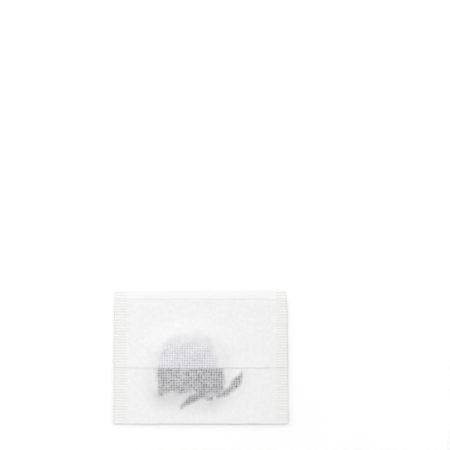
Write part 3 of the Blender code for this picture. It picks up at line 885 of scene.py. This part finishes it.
def dot_emboss_group():
    """A grid of small fused dots, and how near a place is to one."""
    tree, bench, given, made = new_group(
        "dot_emboss",
        "ShaderNodeTree",
        [
            ("Vector", "NodeSocketVector", None),
            ("Pitch Across", "NodeSocketFloat", 1.0),
            ("Pitch Along", "NodeSocketFloat", 1.0),
            ("Dot Radius", "NodeSocketFloat", 0.3),
            ("Softness", "NodeSocketFloat", 0.15),
            ("Unevenness", "NodeSocketFloat", 0.3),
            ("Lean", "NodeSocketFloat", 0.0),
        ],
        [("Dot", "NodeSocketFloat")],
    )
    turned = bench.turned(given["Vector"], given["Lean"])
    pitch = bench.node("ShaderNodeCombineXYZ", X=given["Pitch Across"], Y=given["Pitch Along"], Z=1.0)
    cells = bench.vector("DIVIDE", turned, pitch)
    whole = bench.vector("FLOOR", cells)
    chance = bench.node("ShaderNodeTexWhiteNoise", {"noise_dimensions": "2D"}, Vector=whole)
    astray = bench.vector("SCALE", chance.outputs["Color"], scale=bench.times(given["Unevenness"], 0.2))
    cell = bench.vector("SUBTRACT", bench.vector("FRACTION", cells), astray)
    off = bench.vector("MULTIPLY", bench.vector("SUBTRACT", cell, (0.46, 0.46, 0.0)), pitch)
    far = bench.vector("LENGTH", bench.vector("MULTIPLY", off, (1.0, 1.0, 0.0)))
    less = bench.times(chance.outputs["Value"], given["Unevenness"], 0.5)
    radius = bench.times(given["Dot Radius"], bench.minus(1.1, less))
    inner = bench.minus(radius, given["Softness"])
    outer = bench.plus(radius, given["Softness"])
    bench.feed(made["Dot"], bench.ramp(far, inner, outer, 1.0, 0.0))
    return tree


def web_cover(bench, dot, fibre, touch):
    """How much the web hides: least at its dots where tea touches it, and less of the light that falls in."""
    clear = bench.attribute("clear")
    thin = bench.times(bench.minus(fibre, 0.5), bench.times(touch, 0.5))
    between = bench.plus(bench.mix(touch, 0.95, 0.43), thin)
    at_dot = bench.mix(clear, between, bench.mix(bench.math("POWER", touch, 1.5), 0.92, 0.0))
    path = bench.node("ShaderNodeLightPath")
    falls_through = bench.math("MAXIMUM", path.outputs["Is Shadow Ray"], path.outputs["Is Diffuse Ray"])
    return bench.times(bench.mix(dot, between, at_dot), bench.mix(falls_through, 1.0, 0.6))


def web_colour(bench, from_flap, fine, fibre, cloud, touch):
    """Mottled white, lilac over tea, a whiter lip that paints the floor's light coming through it, the seals'
    grooves greyer for their greenish fused web and for painted shade, and a grey line along the flap's cut
    edge that partly paints its shadow.
    """
    place = bench.split(bench.node("ShaderNodeTexCoord").outputs["Object"])
    ragged = bench.times(bench.minus(fine, 0.5), 2.5 * MM)
    out = bench.plus(bench.math("ABSOLUTE", place["X"]), ragged)
    seal = bench.ramp(out, POCKET_HALF - 0.3 * MM, POCKET_HALF + 0.5 * MM)
    along = bench.plus(place["Y"], bench.times(bench.minus(cloud, 0.5), 0.25 * MM))
    wave = bench.math("COSINE", bench.times(along, 2 * math.pi / RIB_PITCH))
    # painted shade in the rib troughs, over the fused web's greenish tint
    groove_tint_and_shade_share = bench.times(bench.ramp(wave, 0.2, -0.9), seal)
    mottle = bench.plus(bench.times(fibre, 0.6), bench.times(cloud, 0.4))
    # painted light: the lip is made whiter, for the floor's light through its single layer
    lip = bench.ramp(place["Y"], MOUTH_Y + 0.2 * MM, MOUTH_Y + 0.8 * MM, 0.0, 0.7)
    # a grey band along the flap's cut edge, partly its own tint and partly painted shadow
    cut_edge_and_shadow_share = bench.ramp(from_flap, 0.1, 0.5, 0.9, 0.0)
    colour = bench.mix_colour(bench.ramp(mottle, 0.35, 0.65), THIN_WEB, THICK_WEB)
    colour = bench.mix_colour(bench.times(touch, 0.5), colour, WEB_OVER_TEA)
    for share, other in ((lip, LIP_PAINTED_LIGHT), (groove_tint_and_shade_share, GROOVE_TINT_AND_SHADE), (cut_edge_and_shadow_share, CUT_EDGE_AND_SHADOW)):
        colour = bench.mix_colour(share, colour, other)
    return colour


def web_material(emboss):
    """White non-woven web: cloudy fibres, clearer fused dots, denser where nothing lies against it."""
    material, bench, shader = new_material("filter_web")
    strip = bench.node("ShaderNodeUVMap", {"uv_map": "strip"})
    millimetres = bench.vector("SCALE", strip.outputs["UV"], scale=UV_UNIT / MM)
    dot = bench.group(
        emboss, Vector=millimetres, Pitch_Across=DOT_PITCH_ACROSS / MM, Pitch_Along=DOT_PITCH_ALONG / MM,
        Dot_Radius=0.41, Softness=0.26, Unevenness=1.1, Lean=math.radians(0.7),
    ).outputs["Dot"]
    touch = bench.attribute("touch")
    fine = bench.noise(millimetres, Scale=1.7, Detail=3.0, Roughness=0.65)
    leaning = bench.vector("MULTIPLY", bench.turned(millimetres, math.radians(40)), (0.2, 1.5, 1.0))
    streak = bench.noise(leaning, Scale=1.1, Detail=2.0)
    cloud = bench.noise(millimetres, Scale=0.45, Detail=2.0)
    fibre = bench.times(bench.plus(fine, streak), 0.5)
    from_flap = bench.split(millimetres)["Y"]
    bench.feed(shader.inputs["Alpha"], web_cover(bench, dot, fibre, touch))
    bench.feed(shader.inputs["Base Color"], web_colour(bench, from_flap, fine, fibre, cloud, touch))
    bench.feed(shader.inputs["Roughness"], bench.mix(dot, 0.85, 0.5))
    height = bench.minus(bench.times(fibre, 0.5), dot)
    bump = bench.node("ShaderNodeBump", Height=height, Strength=0.3, Distance=0.05 * MM)
    bench.feed(shader.inputs["Normal"], bump)
    shader.inputs["Specular IOR Level"].default_value = 0.25
    return material


def leaf_skin_group():
    """Dry leaf: dark and light patches, wrinkles along the leaf, veins and paler worn ridges."""
    tree, bench, given, made = new_group(
        "leaf_skin",
        "ShaderNodeTree",
        [
            ("Grain", "NodeSocketVector", None),
            ("Tone", "NodeSocketFloat", 0.5),
            ("Dark", "NodeSocketColor", (0.02, 0.02, 0.01, 1)),
            ("Body", "NodeSocketColor", (0.08, 0.07, 0.04, 1)),
            ("Pale", "NodeSocketColor", (0.2, 0.17, 0.1, 1)),
            ("Vein Share", "NodeSocketFloat", 0.5),
            ("Wrinkle Stretch", "NodeSocketFloat", 0.4),
        ],
        [("Color", "NodeSocketColor"), ("Height", "NodeSocketFloat"), ("Roughness", "NodeSocketFloat")],
    )
    tone, grain = given["Tone"], given["Grain"]
    own = bench.times(tone, 37.0)
    patch = bench.noise(grain, W=own, Scale=0.5, Detail=2.0)
    pull = bench.node("ShaderNodeCombineXYZ", X=given["Wrinkle Stretch"], Y=1.0, Z=1.0)
    pulled = bench.vector("MULTIPLY", grain, pull)
    crease = bench.noise(pulled, W=own, Scale=1.9, Detail=4.0, Roughness=0.65)
    ridge = bench.ramp(bench.math("ABSOLUTE", bench.minus(crease, 0.5)), 0.07, 0.0)
    place = bench.split(grain)
    across = bench.math("ABSOLUTE", bench.plus(place["Y"], bench.minus(patch, 0.5)))
    slant = bench.minus(bench.math("DIVIDE", place["X"], 1.25), bench.times(across, 0.7))
    from_vein = bench.math("ABSOLUTE", bench.minus(bench.math("FRACT", slant), 0.5))
    veins = bench.math("MAXIMUM", bench.ramp(across, 0.22, 0.05), bench.ramp(from_vein, 0.1, 0.0))
    vein = bench.times(veins, given["Vein Share"])
    share = bench.plus(bench.ramp(patch, 0.35, 0.65), bench.minus(tone, 0.5))
    body = bench.mix_colour(bench.ramp(share, 0.0, 1.0), given["Dark"], given["Body"])
    worn = bench.plus(bench.times(ridge, 0.4), bench.times(vein, 0.45))
    bench.feed(made["Color"], bench.mix_colour(worn, body, given["Pale"]))
    bench.feed(made["Height"], bench.plus(crease, bench.times(vein, 0.5)))
    bench.feed(made["Roughness"], bench.ramp(crease, 0.3, 0.7, 0.5, 0.85))
    return tree


def tea_material(name, skin, dark, body, pale, veins, stretch):
    material, bench, shader = new_material(name)
    group = bench.group(
        skin,
        Grain=bench.attribute("grain", "Vector"), Tone=bench.attribute("tone"),
        Dark=(*dark, 1.0), Body=(*body, 1.0), Pale=(*pale, 1.0), Vein_Share=veins, Wrinkle_Stretch=stretch,
    )
    bench.feed(shader.inputs["Base Color"], group.outputs["Color"])
    bench.feed(shader.inputs["Roughness"], group.outputs["Roughness"])
    bump = bench.node("ShaderNodeBump", Height=group.outputs["Height"], Strength=0.7, Distance=0.15 * MM)
    bench.feed(shader.inputs["Normal"], bump)
    shader.inputs["Specular IOR Level"].default_value = 0.3
    return material


def seen_ray(bench):
    """1 for a ray that shows what it meets, 0 for one that only brings light."""
    path = bench.node("ShaderNodeLightPath")
    through = bench.math("MAXIMUM", path.outputs["Is Glossy Ray"], path.outputs["Is Transmission Ray"])
    return bench.math("MAXIMUM", path.outputs["Is Camera Ray"], through)


def floor_material():
    """Plain white to the camera, and an ordinary pale surface to the light, so that shadows stay."""
    material, bench, shader = new_material("white_floor")
    shader.inputs["Base Color"].default_value = (0.9, 0.9, 0.9, 1)
    shader.inputs["Roughness"].default_value = 0.9
    shader.inputs["Specular IOR Level"].default_value = 0.0
    shader.subsurface_method = "BURLEY"
    shader.inputs["Subsurface Weight"].default_value = 0.6
    shader.inputs["Subsurface Radius"].default_value = (1, 1, 1)
    shader.inputs["Subsurface Scale"].default_value = 8 * MM
    shader.inputs["Emission Color"].default_value = (1, 1, 1, 1)
    far = bench.vector("LENGTH", bench.node("ShaderNodeTexCoord").outputs["Object"])
    glow = bench.ramp(far, *GLOW_REACH, *GLOW, smooth=False)
    bench.feed(shader.inputs["Emission Strength"], bench.times(seen_ray(bench), glow))
    return material


# The room


def add_lamp(name, place, size, power):
    """A square lamp that faces the bag."""
    data = bpy.data.lights.new(name, "AREA")
    data.shape = "SQUARE"
    data.size = size
    data.energy = power
    lamp = bpy.data.objects.new(name, data)
    bpy.context.scene.collection.objects.link(lamp)
    lamp.location = place
    lamp.rotation_euler = (-Vector(place)).to_track_quat("-Z", "Y").to_euler()


def add_camera():
    data = bpy.data.cameras.new("camera")
    data.sensor_width = 36
    data.lens = data.sensor_width * CAMERA_DISTANCE / FIELD
    data.clip_start = 0.01
    camera = bpy.data.objects.new("camera", data)
    bpy.context.scene.collection.objects.link(camera)
    back = Vector((0, -math.sin(CAMERA_TILT), math.cos(CAMERA_TILT)))
    camera.location = VIEW_CENTRE + back * CAMERA_DISTANCE
    camera.rotation_euler = (CAMERA_TILT, 0, 0)
    bpy.context.scene.camera = camera


def make_room():
    bpy.ops.mesh.primitive_plane_add(size=4)
    floor = bpy.context.object
    floor.name = "floor"
    floor.data.materials.append(floor_material())
    for name, (place, size, power) in LAMPS.items():
        add_lamp(name, place, size, power)
    world = bpy.data.worlds.new("room")
    bpy.context.scene.world = world
    world.use_nodes = True
    background = world.node_tree.nodes["Background"]
    background.inputs["Color"].default_value = (1, 1, 1, 1)
    bench = NodeBench(world.node_tree)
    bench.feed(background.inputs["Strength"], bench.mix(seen_ray(bench), ROOM_LIGHT, 1.0))
    bpy.context.scene.view_settings.view_transform = "Standard"


def make_tea():
    skin = leaf_skin_group()
    warp = tea_warp_tree()
    finish = dry_leaf_tree(warp)
    looks = {}
    for kind, (slot, *colours, veins, stretch) in TEA_LOOKS.items():
        looks[kind] = (tea_material("dry_" + kind, skin, *colours, veins, stretch), slot)
    chance = np.random.default_rng(5)
    leaves = {}
    for name, node in sorted(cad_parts.items()):
        if name != "filter_bag":
            leaves[name] = leaf_body(node, chance.random())
    crumbs = make_crumbs(leaves.values(), warp, tea_material("dry_crumbs", skin, *CRUMB_LOOK))
    for name, leaf in leaves.items():
        material, slot = next(look for kind, look in looks.items() if name.startswith(kind))
        leaf.data.materials.append(material)
        run_tree(leaf, finish, Material=material)
        settle_modifiers(leaf)
        leaf.data.shade_smooth()
        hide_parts(name)
        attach(leaf, "root")
    return [*leaves.values(), crumbs]


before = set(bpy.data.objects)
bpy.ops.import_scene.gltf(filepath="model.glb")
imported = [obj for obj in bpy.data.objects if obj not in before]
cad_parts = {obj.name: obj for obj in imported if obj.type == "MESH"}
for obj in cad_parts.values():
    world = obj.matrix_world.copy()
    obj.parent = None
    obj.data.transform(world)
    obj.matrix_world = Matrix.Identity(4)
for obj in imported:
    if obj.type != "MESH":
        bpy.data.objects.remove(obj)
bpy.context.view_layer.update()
tea = make_tea()
bag = make_filter_bag(tea, web_material(dot_emboss_group()))

make_room()
add_camera()
